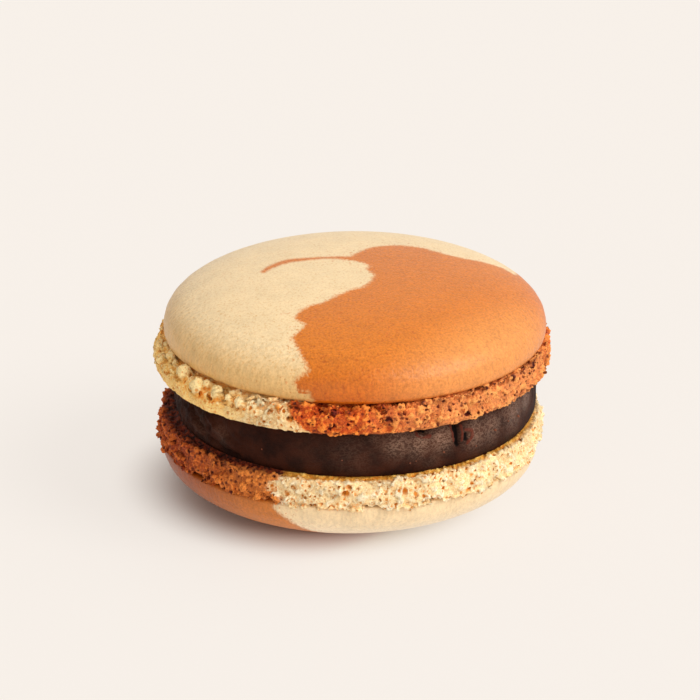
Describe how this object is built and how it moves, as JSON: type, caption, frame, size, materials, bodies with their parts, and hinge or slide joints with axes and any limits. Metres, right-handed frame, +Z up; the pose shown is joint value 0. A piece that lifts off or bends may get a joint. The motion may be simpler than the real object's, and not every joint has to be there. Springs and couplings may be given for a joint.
{
  "type": "french macaron",
  "caption": "Round sandwich biscuit: two domed almond meringue shells with craggy feet, marbled in cream and caramel, around a thick layer of dark chocolate ganache.",
  "frame": {"origin": "on the surface that the macaron rests on, under the centre of the upper foot", "axes": "+Z up through the three layers, -Y towards the side that the picture shows, +X to its right"},
  "size_m": [0.0479, 0.0479, 0.0286],
  "materials": {
    "upper_shell": "matte baked almond meringue, cream and caramel, with a satin crown",
    "ganache": "dark chocolate ganache with a soft satin skin",
    "lower_shell": "matte baked almond meringue, caramel and cream, with a satin crown"
  },
  "bodies": {
    "root": {"upper_shell": "upper_shell", "ganache": "ganache", "lower_shell": "lower_shell"}
  },
  "joints": []
}
